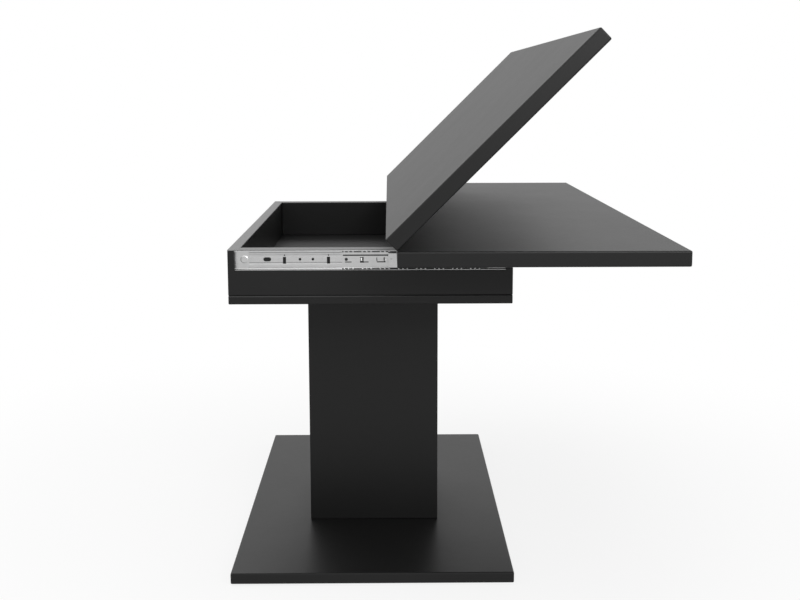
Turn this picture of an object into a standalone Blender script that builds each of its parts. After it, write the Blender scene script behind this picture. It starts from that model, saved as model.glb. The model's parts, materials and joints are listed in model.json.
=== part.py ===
"""Extending pedestal table: a storage tray on a column, under two leaves that slide and unfold.

Units are metres and +Z is up. X is the way the leaves slide, Y runs along the table, and the origin
lies on the floor under the middle of the base. The leaves are drawn slid fully out to +X, with the
upper one half unfolded.
"""

import math

import bmesh
import bpy
from mathutils import Matrix, Vector

# Fits
SEAT_GAP = 0.0003  # between pieces that rest on each other
RUNNING_GAP = 0.0006  # between sliding pieces that do not touch
EDGE_ROUND = 0.0010  # softened arris where boards meet
BOARD_EDGE = 0.0030  # rounded arris of the base and the leaves
TRAY_EDGE = 0.0020  # rounded arris of the tray's floor

# Base
GLIDE_HEIGHT = 0.0022
GLIDE_RADIUS = 0.015
GLIDE_INSET = 0.060
BASE_WIDTH = 0.600
BASE_LENGTH = 1.050
BASE_THICKNESS = 0.0238

# Column
COLUMN_WIDTH = 0.300
COLUMN_LENGTH = 0.390
COLUMN_HEIGHT = 0.5778
COLUMN_PANEL = 0.018
COLUMN_BOARD = 0.018  # the boards that close the column's foot and head inside

# Bolts that hold the column to the base and the tray to the column
BOLT_RADIUS = 0.004
BOLT_HEAD_RADIUS = 0.0065
BOLT_HEAD_HEIGHT = 0.004
BOLT_SOCKET_RADIUS = 0.003
BOLT_SOCKET_DEPTH = 0.0025
BOLT_HOLE_GAP = 0.0002
BOLT_INSET = 0.040  # from the inside of the column's panels
BOLT_SINK = 0.0005  # the head lies this far below the board's face
BOLT_TIP_COVER = 0.003  # board left beyond the bolt's tip
BOLT_SIDES = 10

# Slides
RAIL_LENGTH = 0.550
RAIL_HEIGHT = 0.042
RAIL_SHEET = 0.0012
RAIL_LIP = 0.0021
LIP_BEND = 0.0007
RACE_BEND = 0.0040  # the rounded corner beside each row of balls
SLIDE_DEPTH = 0.0127
SHEET_BEND = 0.0022
RUNNER_LENGTH = 0.540
RUNNER_SHEET = 0.0012
RUNNER_BEND = 0.0010
BALL_DIAMETER = 0.0038
BALL_GAP = 0.00025
BALLS_IN_GROUP = 3
BALL_SPACING = 0.0088  # between the balls of a group
BALL_PITCH = 0.0366  # from one group of balls to the next
BALL_START = 0.014  # from the cage's end to the middle of its first group
CAGE_LENGTH = 0.297
CAGE_SHEET = 0.0008
CAGE_START = 0.062  # from the rail's end to the cage's end, with the leaves pushed home
STOP_GAP = 0.001

# Pressed shapes and openings in the slide's sheet metal
PRESS_LIFT = 0.0015  # of the pressed shapes and holes above the slide's middle line
RIB_HEIGHT = 0.0010
RIB_SLOPE = 0.0018
RIB_START = 0.0285  # from the rail's end
RIB_REACH = (0.0061, 0.0075)  # of the middle rib, upwards and downwards
BAND_START = 0.0085  # of the raised band on either side of the rib
BAND_END = 0.0160  # from the slide's middle line to the far side of each band
DIMPLE_RADIUS = 0.008
DIMPLE_RISE = 0.001
DIMPLE_STEPS = (0.0, 0.6, 1.1)  # angles up the dimple's dome
DIMPLE_START = 0.019
FIXING_SLOT = (0.016, 0.0085)
FIXING_SLOT_START = 0.0654
UPRIGHT_SLOT = (0.0064, 0.0140)
UPRIGHT_SLOT_STARTS = (0.1004, 0.1897)
UPRIGHT_SLOT_DROP = 0.0022
NOTCH_RADIUS = 0.0015
NOTCH_LIFT = 0.0082
SCREW_HOLE_RADIUS = 0.0027
SCREW_HOLE_STARTS = (0.1318, 0.1581)
PILOT_RADIUS = 0.0023  # of the holes drilled in the tray's walls behind the screw holes
PILOT_DEPTH = 0.012
CAGE_SLIT = 0.0020
CAGE_SLIT_LIFT = 0.0098
CAGE_TRACK = 0.0020  # the slit that shows the upper balls
CAGE_TRACK_LIFT = 0.0169
CAGE_SLIT_END = 0.002
CAGE_HOLE_RADIUS = 0.0022
CAGE_HOLE_START = 0.009
CAGE_WINDOW = (0.0052, 0.0064)
CAGE_WINDOW_START = 0.040
CAGE_TONGUE = (0.016, 0.0062)
CAGE_TONGUE_START = 0.078
CAGE_TONGUE_SLIT = 0.0014
RUNNER_HOLE_RADIUS = 0.0024
RUNNER_HOLE_INSET = 0.060
RUNNER_HOLE_COUNT = 5

# Tray
POST_WIDTH = 0.0138  # from the rail's end to the outside of the tray
TRAY_LENGTH = 1.070
TRAY_FLOOR = 0.018
WALL_THICKNESS = 0.022
APRON_THICKNESS = 0.015
APRON_HEIGHT = 0.0496
APRON_SETBACK = 0.001  # behind the edge of the tray's floor
RIM_STRIP = 0.0012

# Leaves
LEAF_WIDTH = 0.534
LEAF_LENGTH = 1.600
LEAF_THICKNESS = 0.0295
LEAF_CLEARANCE = 0.0012  # between the tray's rim and the underside of the leaves
LEAF_OPEN_OFFSET = 0.0525  # from the tray's middle to the hinged end of the lower leaf, slid out
RUNNER_LEAD = 0.0165  # the runner starts this far before the hinged end of the leaf
BATTEN_THICKNESS = 0.018
BATTEN_INSET = 0.010
RUNNER_SHOW = 0.003  # of the runner's height below the batten
FOLD_GAP = 0.0006  # between the leaves when they lie folded
FLAP_ANGLE = 44.7  # degrees that the upper leaf is lifted from its folded place

# Hinges
HINGE_COUNT = 4
HINGE_INSET = 0.140  # from the end of the leaf to the middle of its first hinge
HINGE_LENGTH = 0.060
HINGE_PLATE = 0.0015
HINGE_PLATE_DEPTH = 0.022
HINGE_SETBACK = 0.0005  # from the leaf's end face to the hinge axis
KNUCKLE_RADIUS = 0.0026
KNUCKLE_SIDES = 12
PIN_RADIUS = 0.0012
PIN_GAP = 0.0002

# Levels, from the floor up
base_low = GLIDE_HEIGHT + SEAT_GAP
base_top = base_low + BASE_THICKNESS
column_low = base_top + SEAT_GAP
column_top = column_low + COLUMN_HEIGHT
floor_low = column_top + SEAT_GAP
floor_top = floor_low + TRAY_FLOOR
wall_low = floor_top + SEAT_GAP
apron_top = wall_low + APRON_HEIGHT
rail_low = apron_top + SEAT_GAP
wall_top = rail_low + RAIL_HEIGHT
rim_top = wall_top + SEAT_GAP + RIM_STRIP
leaf_low = rim_top + LEAF_CLEARANCE
leaf_top = leaf_low + LEAF_THICKNESS
slide_level = rail_low + RAIL_HEIGHT / 2

# Places across the tray
tray_half_width = RAIL_LENGTH / 2 + POST_WIDTH
tray_half_length = TRAY_LENGTH / 2
apron_face = tray_half_length - APRON_SETBACK
wall_face = apron_face - APRON_THICKNESS
inner_half_width = tray_half_width - WALL_THICKNESS
inner_half_length = wall_face - WALL_THICKNESS
slide_face = wall_face + SEAT_GAP

# The slide's section: depths from the wall, heights from its middle line
rail_half = RAIL_HEIGHT / 2
rail_depth = SLIDE_DEPTH - RUNNER_SHEET
runner_half = rail_half - RAIL_SHEET - BALL_DIAMETER - 2 * BALL_GAP
ball_height = runner_half + BALL_GAP + BALL_DIAMETER / 2
cage_back = RAIL_SHEET + RIB_HEIGHT + RUNNING_GAP
cage_front = rail_depth - RAIL_SHEET - RUNNING_GAP
runner_back = cage_back + CAGE_SHEET + RUNNING_GAP
ball_depth = (runner_back + cage_front) / 2
runner_low = slide_level - runner_half

# Places along the slide
leaf_left = LEAF_OPEN_OFFSET
leaf_right = leaf_left + LEAF_WIDTH
rail_left = -RAIL_LENGTH / 2
runner_left = leaf_left - RUNNER_LEAD
slide_travel = runner_left - rail_left - STOP_GAP
cage_left = rail_left + CAGE_START + slide_travel / 2

# The hinge axis, along Y
hinge_x = leaf_left - HINGE_SETBACK
hinge_z = leaf_top + FOLD_GAP / 2

# Finishes: colour, roughness, metallic
BLACK_LAMINATE = ((0.021, 0.021, 0.022), 0.38, 0.0)
BARE_BOARD = ((0.42, 0.31, 0.20), 0.80, 0.0)
ZINC_STEEL = ((0.66, 0.67, 0.68), 0.30, 1.0)
HINGE_STEEL = ((0.48, 0.48, 0.49), 0.35, 1.0)
GREY_FELT = ((0.30, 0.30, 0.30), 0.95, 0.0)
BLACK_NYLON = ((0.03, 0.03, 0.03), 0.55, 0.0)


def clear_scene():
    for obj in list(bpy.data.objects):
        bpy.data.objects.remove(obj, do_unlink=True)


def make_material(name, finish):
    colour, roughness, metallic = finish
    material = bpy.data.materials.new(name + "_finish")
    material.use_nodes = True
    shader = material.node_tree.nodes["Principled BSDF"]
    shader.inputs["Base Color"].default_value = (*colour, 1.0)
    shader.inputs["Roughness"].default_value = roughness
    shader.inputs["Metallic"].default_value = metallic
    return material


def add_object(name, bm, finish=None):
    """Turns a bmesh into a named object with a finish of its own."""
    bmesh.ops.recalc_face_normals(bm, faces=bm.faces)
    mesh = bpy.data.meshes.new(name)
    bm.to_mesh(mesh)
    bm.free()
    obj = bpy.data.objects.new(name, mesh)
    bpy.context.collection.objects.link(obj)
    if finish:
        mesh.materials.append(make_material(name, finish))
    return obj


def smooth(obj, angle=30.0):
    obj.data.shade_smooth()
    obj.data.set_sharp_from_angle(angle=math.radians(angle))
    return obj


def combine(obj, tool_bm, operation):
    """Cuts the tool out of the object, or joins it on, and keeps the result as the object's mesh."""
    tool = add_object(obj.name + "_tool", tool_bm)
    modifier = obj.modifiers.new("combine", "BOOLEAN")
    modifier.operation = operation
    modifier.solver = "EXACT"
    modifier.object = tool
    graph = bpy.context.evaluated_depsgraph_get()
    result = bpy.data.meshes.new_from_object(obj.evaluated_get(graph))
    obj.modifiers.clear()
    obj.data = result
    bpy.data.objects.remove(tool, do_unlink=True)
    return obj


def soften(bm, edges, size, steps):
    bmesh.ops.bevel(bm, geom=edges, offset=size, segments=steps, profile=0.5, affect="EDGES")


def board(name, low, high, finish, edge=EDGE_ROUND, steps=2, crisp_end=False):
    """A rectangular board between two corners, with its edges rounded unless edge is 0.

    With crisp_end, the edges of its end at the lower X are only softened.
    """
    low = Vector(low)
    high = Vector(high)

    def at_end(line):
        return all(abs(vert.co.x - low.x) < EDGE_ROUND / 10 for vert in line.verts)

    bm = bmesh.new()
    bmesh.ops.create_cube(bm, size=1.0)
    bmesh.ops.scale(bm, vec=high - low, verts=bm.verts)
    bmesh.ops.translate(bm, vec=(low + high) / 2, verts=bm.verts)
    if edge:
        soften(bm, [line for line in bm.edges if not (crisp_end and at_end(line))], edge, steps)
    if crisp_end:
        soften(bm, [line for line in bm.edges if at_end(line)], EDGE_ROUND, 2)
    return add_object(name, bm, finish)


def add_prism(bm, outline, point, start, end):
    """Sweeps a closed outline of (u, v) pairs; point(u, v, t) places it for t from start to end."""
    rings = [[bm.verts.new(point(u, v, t)) for u, v in outline] for t in (start, end)]
    bm.faces.new(rings[0])
    bm.faces.new(list(reversed(rings[1])))
    for index in range(len(outline)):
        after = (index + 1) % len(outline)
        bm.faces.new((rings[0][index], rings[1][index], rings[1][after], rings[0][after]))


def add_turned(bm, profile, point, sides):
    """Turns (radius, t) pairs about an axis; point(u, v, t) places the circle's u and v."""
    rings = []
    for radius, t in profile:
        angles = [math.tau * side / sides for side in range(sides)]
        rings.append([bm.verts.new(point(radius * math.cos(a), radius * math.sin(a), t)) for a in angles])
    bm.faces.new(rings[0])
    bm.faces.new(list(reversed(rings[-1])))
    for near, far in zip(rings, rings[1:]):
        for side in range(sides):
            after = (side + 1) % sides
            bm.faces.new((near[side], far[side], far[after], near[after]))


def rectangle(u, v, width, height):
    return [(u - width / 2, v - height / 2), (u + width / 2, v - height / 2),
            (u + width / 2, v + height / 2), (u - width / 2, v + height / 2)]


def circle(u, v, radius, sides=12):
    angles = [math.tau * side / sides for side in range(sides)]
    return [(u + radius * math.cos(a), v + radius * math.sin(a)) for a in angles]


def stadium(u, v, width, height, steps=5):
    """A slot with round ends along its longer side."""
    radius = min(width, height) / 2
    reach_u = width / 2 - radius
    reach_v = height / 2 - radius
    turn = 0.0 if width >= height else math.pi / 2
    points = []
    for end in (1, -1):
        for step in range(steps + 1):
            angle = turn + (math.pi / 2 if end < 0 else -math.pi / 2) + math.pi * step / steps
            points.append((u + end * reach_u + radius * math.cos(angle),
                           v + end * reach_v + radius * math.sin(angle)))
    return points


def bend(before, corner, after, radius, steps=3):
    """Points of the arc that rounds a square corner of a sheet's centre line."""
    back = Vector(before) - Vector(corner)
    ahead = Vector(after) - Vector(corner)
    reach = min(radius, 0.8 * back.length, 0.8 * ahead.length)
    back.normalize()
    ahead.normalize()
    centre = Vector(corner) + reach * (back + ahead)
    angles = [math.pi / 2 * step / steps for step in range(steps + 1)]
    return [centre - reach * (math.cos(a) * ahead + math.sin(a) * back) for a in angles]


def bent_sheet(corners, thickness, radii):
    """Closed outline of a folded sheet: its centre line with rounded bends, thickened both ways."""
    line = [Vector(corners[0])]
    for before, corner, after, radius in zip(corners, corners[1:], corners[2:], radii):
        line.extend(bend(before, corner, after, radius))
    line.append(Vector(corners[-1]))
    steps = [(b - a).normalized() for a, b in zip(line, line[1:])]
    one_side = []
    other_side = []
    for index, point in enumerate(line):
        step_in = steps[max(index - 1, 0)]
        step_out = steps[min(index, len(steps) - 1)]
        along = (step_in + step_out).normalized()
        across = Vector((-along.y, along.x)) * (thickness / 2 / along.dot(step_out))
        one_side.append(tuple(point + across))
        other_side.append(tuple(point - across))
    return one_side + other_side[::-1]


def on_slide(side):
    """Places a slide's section: depth from the wall, height from its middle line, place along X."""
    return lambda depth, height, x: (x, side * (slide_face + depth), slide_level + height)


def on_slide_front(side):
    """As on_slide, for outlines drawn on the slide's face and swept through its depth."""
    return lambda x, height, depth: (x, side * (slide_face + depth), slide_level + height)


def upright(x, y):
    """Places a vertical turned piece or hole."""
    return lambda u, v, z: (x + u, y + v, z)


def attach(obj, carrier):
    """Hangs a piece that was drawn in place on the empty that moves it."""
    obj.data.transform(Matrix.Translation(-carrier.location))
    obj.parent = carrier
    return obj


def make_carrier(name, location):
    carrier = bpy.data.objects.new(name, None)
    carrier.empty_display_size = 0.05
    carrier.location = location
    bpy.context.collection.objects.link(carrier)
    return carrier


def cut_holes(obj, places, profile):
    """Cuts the same stepped round hole at several places."""
    bm = bmesh.new()
    for x, y in places:
        add_turned(bm, profile, upright(x, y), BOLT_SIDES)
    return combine(obj, bm, "DIFFERENCE")


def bolt_places():
    reach_x = COLUMN_WIDTH / 2 - COLUMN_PANEL - BOLT_INSET
    reach_y = COLUMN_LENGTH / 2 - COLUMN_PANEL - BOLT_INSET
    return [(x, y) for x in (-reach_x, reach_x) for y in (-reach_y, reach_y)]


def make_bolts(name, head_face, tip):
    """Socket-head bolts with the head's face at head_face and the tip at tip, up or down."""
    way = 1 if tip > head_face else -1
    under_head = head_face + way * BOLT_HEAD_HEIGHT
    profile = [
        (BOLT_SOCKET_RADIUS, head_face + way * BOLT_SOCKET_DEPTH),
        (BOLT_SOCKET_RADIUS, head_face),
        (BOLT_HEAD_RADIUS, head_face),
        (BOLT_HEAD_RADIUS, under_head),
        (BOLT_RADIUS, under_head),
        (BOLT_RADIUS, tip),
    ]
    for number, (x, y) in enumerate(bolt_places(), start=1):
        bm = bmesh.new()
        add_turned(bm, profile, upright(x, y), BOLT_SIDES)
        smooth(add_object(f"{name}_{number}", bm, HINGE_STEEL))


def bolt_hole(head_face, far_face):
    """A counterbored hole that opens past head_face and runs out through far_face."""
    way = 1 if far_face > head_face else -1
    head_seat = head_face + way * (BOLT_SINK + BOLT_HEAD_HEIGHT + BOLT_HOLE_GAP)
    return [
        (BOLT_HEAD_RADIUS + BOLT_HOLE_GAP, head_face - way * SEAT_GAP),
        (BOLT_HEAD_RADIUS + BOLT_HOLE_GAP, head_seat),
        (BOLT_RADIUS + BOLT_HOLE_GAP, head_seat),
        (BOLT_RADIUS + BOLT_HOLE_GAP, far_face + way * SEAT_GAP),
    ]


def plain_hole(low, high):
    radius = BOLT_RADIUS + BOLT_HOLE_GAP
    return [(radius, low - SEAT_GAP), (radius, high + SEAT_GAP)]


def make_base():
    low = (-BASE_WIDTH / 2, -BASE_LENGTH / 2, base_low)
    high = (BASE_WIDTH / 2, BASE_LENGTH / 2, base_top)
    plate = board("base_plate", low, high, BLACK_LAMINATE, BOARD_EDGE, steps=3)
    cut_holes(plate, bolt_places(), bolt_hole(base_low, base_top))
    reach_x = BASE_WIDTH / 2 - GLIDE_INSET
    reach_y = BASE_LENGTH / 2 - GLIDE_INSET
    places = [(x, y) for x in (-reach_x, reach_x) for y in (-reach_y, reach_y)] + [(0.0, 0.0)]
    chamfer = GLIDE_HEIGHT / 3
    profile = [(GLIDE_RADIUS - chamfer, 0.0), (GLIDE_RADIUS, chamfer), (GLIDE_RADIUS, GLIDE_HEIGHT)]
    for number, (x, y) in enumerate(places, start=1):
        bm = bmesh.new()
        add_turned(bm, profile, upright(x, y), 16)
        smooth(add_object(f"base_glide_{number}", bm, BLACK_NYLON))


def make_column():
    """Four panels round two inner boards, which the bolts pull against the base and the tray."""
    half_x = COLUMN_WIDTH / 2
    half_y = COLUMN_LENGTH / 2
    side_y = half_y - COLUMN_PANEL - SEAT_GAP
    board_x = half_x - COLUMN_PANEL - SEAT_GAP
    for name, sign in (("column_front_panel", -1), ("column_rear_panel", 1)):
        faces = sorted((sign * half_y, sign * (half_y - COLUMN_PANEL)))
        board(name, (-half_x, faces[0], column_low), (half_x, faces[1], column_top), BLACK_LAMINATE)
    for name, sign in (("column_left_panel", -1), ("column_right_panel", 1)):
        faces = sorted((sign * half_x, sign * (half_x - COLUMN_PANEL)))
        board(name, (faces[0], -side_y, column_low), (faces[1], side_y, column_top), BLACK_LAMINATE)
    for name, low in (("column_foot_board", column_low), ("column_head_board", column_top - COLUMN_BOARD)):
        high = low + COLUMN_BOARD
        inner = board(name, (-board_x, -side_y, low), (board_x, side_y, high), BARE_BOARD, edge=0)
        cut_holes(inner, bolt_places(), plain_hole(low, high))
    make_bolts("base_bolt", base_low + BOLT_SINK, column_low + COLUMN_BOARD - BOLT_TIP_COVER)
    make_bolts("tray_bolt", floor_top - BOLT_SINK, column_top - COLUMN_BOARD + BOLT_TIP_COVER)


def make_apron(name, side):
    """A facing board notched along its top for the slide, with a post left at one end."""
    stub_top = runner_low - RUNNING_GAP
    rail_end = RAIL_LENGTH / 2 + SEAT_GAP
    outline = [
        (-tray_half_width, wall_low),
        (tray_half_width, wall_low),
        (tray_half_width, stub_top),
        (rail_end, stub_top),
        (rail_end, apron_top),
        (-rail_end, apron_top),
        (-rail_end, wall_top),
        (-tray_half_width, wall_top),
    ]
    bm = bmesh.new()
    add_prism(bm, outline, lambda x, z, y: (x, side * y, z), wall_face + SEAT_GAP, apron_face)
    outer = [e for e in bm.edges if all(abs(abs(v.co.y) - apron_face) < SEAT_GAP for v in e.verts)]
    soften(bm, outer, EDGE_ROUND, 2)
    add_object(name, bm, BLACK_LAMINATE)


def make_rim_strip(name, outline):
    bm = bmesh.new()
    add_prism(bm, outline, lambda x, y, z: (x, y, z), rim_top - RIM_STRIP, rim_top)
    add_object(name, bm, GREY_FELT)


def make_tray():
    low = (-tray_half_width, -tray_half_length, floor_low)
    high = (tray_half_width, tray_half_length, floor_top)
    floor = board("tray_floor", low, high, BLACK_LAMINATE, TRAY_EDGE, steps=3)
    cut_holes(floor, bolt_places(), bolt_hole(floor_top, floor_low))
    for name, sign in (("tray_left_wall", -1), ("tray_right_wall", 1)):
        faces = sorted((sign * tray_half_width, sign * inner_half_width))
        board(name, (faces[0], -wall_face, wall_low), (faces[1], wall_face, wall_top), BLACK_LAMINATE)
    end_x = inner_half_width - SEAT_GAP
    for name, sign in (("tray_front_wall", -1), ("tray_rear_wall", 1)):
        faces = sorted((sign * wall_face, sign * inner_half_length))
        wall = board(name, (-end_x, faces[0], wall_low), (end_x, faces[1], wall_top), BLACK_LAMINATE)
        bm = bmesh.new()
        for hole_x in screw_hole_places():
            add_prism(bm, circle(hole_x, PRESS_LIFT, PILOT_RADIUS, 8), on_slide_front(sign), -PILOT_DEPTH, 0.0)
        combine(wall, bm, "DIFFERENCE")
    make_apron("front_apron", -1)
    make_apron("rear_apron", 1)

    post_face = RAIL_LENGTH / 2 + SEAT_GAP
    make_rim_strip("left_rim_strip", [
        (-tray_half_width, -apron_face), (-post_face, -apron_face), (-post_face, -wall_face),
        (-inner_half_width, -wall_face), (-inner_half_width, wall_face), (-post_face, wall_face),
        (-post_face, apron_face), (-tray_half_width, apron_face)])
    middle = (tray_half_width + inner_half_width) / 2
    make_rim_strip("right_rim_strip", rectangle(middle, 0.0, WALL_THICKNESS, 2 * wall_face))
    over_rail = slide_face + rail_depth
    for name, side in (("front_rim_strip", -1), ("rear_rim_strip", 1)):
        half = [(end_x, inner_half_length), (end_x, slide_face), (-rail_left, slide_face), (-rail_left, over_rail)]
        outline = half + [(-x, y) for x, y in reversed(half)]
        make_rim_strip(name, [(x, side * y) for x, y in outline])


def screw_hole_places():
    return [end * (RAIL_LENGTH / 2 - start) for end in (-1, 1) for start in SCREW_HOLE_STARTS]


def make_rail(name, side):
    """The fixed member: a folded channel with pressed ribs, a stop dimple and fixing holes."""
    depth = rail_depth - RAIL_SHEET / 2
    height = rail_half - RAIL_SHEET / 2
    lip = rail_half - RAIL_LIP
    corners = [(depth, lip), (depth, height), (RAIL_SHEET / 2, height),
               (RAIL_SHEET / 2, -height), (depth, -height), (depth, -lip)]
    bends = (LIP_BEND, RACE_BEND, RACE_BEND, LIP_BEND)
    bm = bmesh.new()
    add_prism(bm, bent_sheet(corners, RAIL_SHEET, bends), on_slide(side), rail_left, -rail_left)
    rail = add_object(name, bm, ZINC_STEEL)

    root = RAIL_SHEET / 2
    face = RAIL_SHEET + RIB_HEIGHT
    reach = RAIL_LENGTH / 2 - RIB_START
    bm = bmesh.new()
    spans = ((PRESS_LIFT - RIB_REACH[1], PRESS_LIFT + RIB_REACH[0]),
             (PRESS_LIFT + BAND_START, BAND_END), (-BAND_END, PRESS_LIFT - BAND_START))
    for low, high in spans:
        rib = [(root, low), (RAIL_SHEET, low), (face, low + RIB_SLOPE),
               (face, high - RIB_SLOPE), (RAIL_SHEET, high), (root, high)]
        add_prism(bm, rib, on_slide(side), -reach, reach)
    dome = [(DIMPLE_RADIUS * math.cos(a), RAIL_SHEET + DIMPLE_RISE * math.sin(a)) for a in DIMPLE_STEPS]
    front = on_slide_front(side)
    add_turned(bm, [(DIMPLE_RADIUS, root)] + dome,
               lambda u, v, t: front(rail_left + DIMPLE_START + u, PRESS_LIFT + v, t), 16)
    combine(rail, bm, "UNION")

    bm = bmesh.new()
    through = (-RAIL_SHEET, face + RAIL_SHEET)
    for end in (-1, 1):
        slot_x = end * (RAIL_LENGTH / 2 - FIXING_SLOT_START)
        add_prism(bm, stadium(slot_x, PRESS_LIFT, *FIXING_SLOT), front, *through)
        for start in UPRIGHT_SLOT_STARTS:
            slot_x = end * (RAIL_LENGTH / 2 - start)
            add_prism(bm, rectangle(slot_x, PRESS_LIFT - UPRIGHT_SLOT_DROP, *UPRIGHT_SLOT), front, *through)
            add_prism(bm, circle(slot_x, PRESS_LIFT + NOTCH_LIFT, NOTCH_RADIUS, 8), front, *through)
    for hole_x in screw_hole_places():
        add_prism(bm, circle(hole_x, PRESS_LIFT, SCREW_HOLE_RADIUS), front, *through)
    combine(rail, bm, "DIFFERENCE")
    return smooth(rail)


def cage_openings(cage_x):
    """Outlines cut through the cage's web: slits above, and a hole, a window and a tongue at each end."""
    outlines = []
    slit_reach = CAGE_LENGTH / 2 - 2 * CAGE_SLIT_END
    for lift, tall in ((CAGE_SLIT_LIFT, CAGE_SLIT), (CAGE_TRACK_LIFT, CAGE_TRACK)):
        for end in (-1, 1):
            middle = cage_x + end * (slit_reach / 2 + CAGE_SLIT_END)
            outlines.append(rectangle(middle, lift, slit_reach, tall))
    wide, high = CAGE_TONGUE
    slit = CAGE_TONGUE_SLIT
    tongue = [(0, high), (0, 0), (wide, 0), (wide, high), (wide - slit, high), (wide - slit, slit),
              (slit, slit), (slit, high)]
    for end in (-1, 1):
        hole_x = cage_x + end * (CAGE_LENGTH / 2 - CAGE_HOLE_START)
        outlines.append(circle(hole_x, PRESS_LIFT, CAGE_HOLE_RADIUS, 10))
        window_x = cage_x + end * (CAGE_LENGTH / 2 - CAGE_WINDOW_START)
        outlines.append(rectangle(window_x, PRESS_LIFT, *CAGE_WINDOW))
        left = cage_x + end * (CAGE_LENGTH / 2 - CAGE_TONGUE_START) - wide / 2
        outlines.append([(left + u, PRESS_LIFT + v - high / 2) for u, v in tongue])
    return outlines


def make_cage(name, side, carrier):
    """The ball cage: a thin folded strip that carries two rows of balls in groups."""
    web = cage_back + CAGE_SHEET / 2
    corners = [(cage_front, ball_height), (web, ball_height), (web, -ball_height), (cage_front, -ball_height)]
    cage_x = cage_left + CAGE_LENGTH / 2
    bm = bmesh.new()
    outline = bent_sheet(corners, CAGE_SHEET, (SHEET_BEND, SHEET_BEND))
    add_prism(bm, outline, on_slide(side), cage_left, cage_left + CAGE_LENGTH)
    cage = add_object(name, bm, ZINC_STEEL)

    front = on_slide_front(side)
    bm = bmesh.new()
    for opening in cage_openings(cage_x):
        add_prism(bm, opening, front, cage_back - CAGE_SHEET / 2, web + SHEET_BEND)
    combine(cage, bm, "DIFFERENCE")

    groups = int((CAGE_LENGTH - 2 * BALL_START) // BALL_PITCH) + 1
    bm = bmesh.new()
    for index in range(groups):
        group_x = cage_left + BALL_START + index * BALL_PITCH
        for step in range(BALLS_IN_GROUP):
            ball_x = group_x + (step - (BALLS_IN_GROUP - 1) / 2) * BALL_SPACING
            for height in (-ball_height, ball_height):
                centre = Matrix.Translation(on_slide(side)(ball_depth, height, ball_x))
                bmesh.ops.create_uvsphere(
                    bm, u_segments=5, v_segments=4, radius=BALL_DIAMETER / 2, matrix=centre)
    combine(cage, bm, "UNION")
    return attach(smooth(cage), carrier)


def make_runner(name, side, carrier):
    """The sliding member: a folded channel that faces the rail and carries the leaf's batten."""
    web = SLIDE_DEPTH - RUNNER_SHEET / 2
    height = runner_half - RUNNER_SHEET / 2
    corners = [(runner_back, height), (web, height), (web, -height), (runner_back, -height)]
    bm = bmesh.new()
    outline = bent_sheet(corners, RUNNER_SHEET, (RUNNER_BEND, RUNNER_BEND))
    add_prism(bm, outline, on_slide(side), runner_left, runner_left + RUNNER_LENGTH)
    runner = add_object(name, bm, ZINC_STEEL)
    bm = bmesh.new()
    pitch = (RUNNER_LENGTH - 2 * RUNNER_HOLE_INSET) / (RUNNER_HOLE_COUNT - 1)
    for index in range(RUNNER_HOLE_COUNT):
        hole_x = runner_left + RUNNER_HOLE_INSET + index * pitch
        hole = circle(hole_x, 0.0, RUNNER_HOLE_RADIUS, 10)
        add_prism(bm, hole, on_slide_front(side), SLIDE_DEPTH - 2 * RUNNER_SHEET, SLIDE_DEPTH + RUNNER_SHEET)
    combine(runner, bm, "DIFFERENCE")
    return attach(smooth(runner), carrier)


def make_batten(name, side, carrier):
    """A strip screwed under the leaf, which the runner is fixed to."""
    near = slide_face + SLIDE_DEPTH + SEAT_GAP
    faces = sorted((side * near, side * (near + BATTEN_THICKNESS)))
    low = (leaf_left + BATTEN_INSET, faces[0], runner_low + RUNNER_SHOW)
    high = (leaf_right - BATTEN_INSET, faces[1], leaf_low - SEAT_GAP)
    return attach(board(name, low, high, BLACK_LAMINATE), carrier)


def hinge_places():
    pitch = (LEAF_LENGTH - 2 * HINGE_INSET) / (HINGE_COUNT - 1)
    return [-LEAF_LENGTH / 2 + HINGE_INSET + index * pitch for index in range(HINGE_COUNT)]


def on_hinge(u, v, y):
    """Places a circle of u and v round the hinge axis."""
    return (hinge_x + u, y, hinge_z + v)


def make_leaf(name, low_z, mortise_way, carrier):
    """A leaf with mortises for its hinge plates; mortise_way is the way from the fold to its middle."""
    low = (leaf_left, -LEAF_LENGTH / 2, low_z)
    high = (leaf_right, LEAF_LENGTH / 2, low_z + LEAF_THICKNESS)
    leaf = board(name, low, high, BLACK_LAMINATE, BOARD_EDGE, steps=3, crisp_end=True)
    reach = HINGE_PLATE_DEPTH + SEAT_GAP
    bottom, top = sorted((hinge_z - mortise_way * KNUCKLE_RADIUS, hinge_z + mortise_way * reach))
    mortise = [(leaf_left - KNUCKLE_RADIUS, bottom), (leaf_left + HINGE_PLATE + SEAT_GAP, bottom),
               (leaf_left + HINGE_PLATE + SEAT_GAP, top), (leaf_left - KNUCKLE_RADIUS, top)]
    half = HINGE_LENGTH / 2 + SEAT_GAP
    relief = KNUCKLE_RADIUS + SEAT_GAP
    mortises = bmesh.new()
    reliefs = bmesh.new()
    for y in hinge_places():
        add_prism(mortises, mortise, lambda x, z, t: (x, t, z), y - half, y + half)
        add_turned(reliefs, [(relief, y - half), (relief, y + half)], on_hinge, KNUCKLE_SIDES)
    combine(leaf, mortises, "DIFFERENCE")
    combine(leaf, reliefs, "DIFFERENCE")
    return attach(leaf, carrier)


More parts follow.
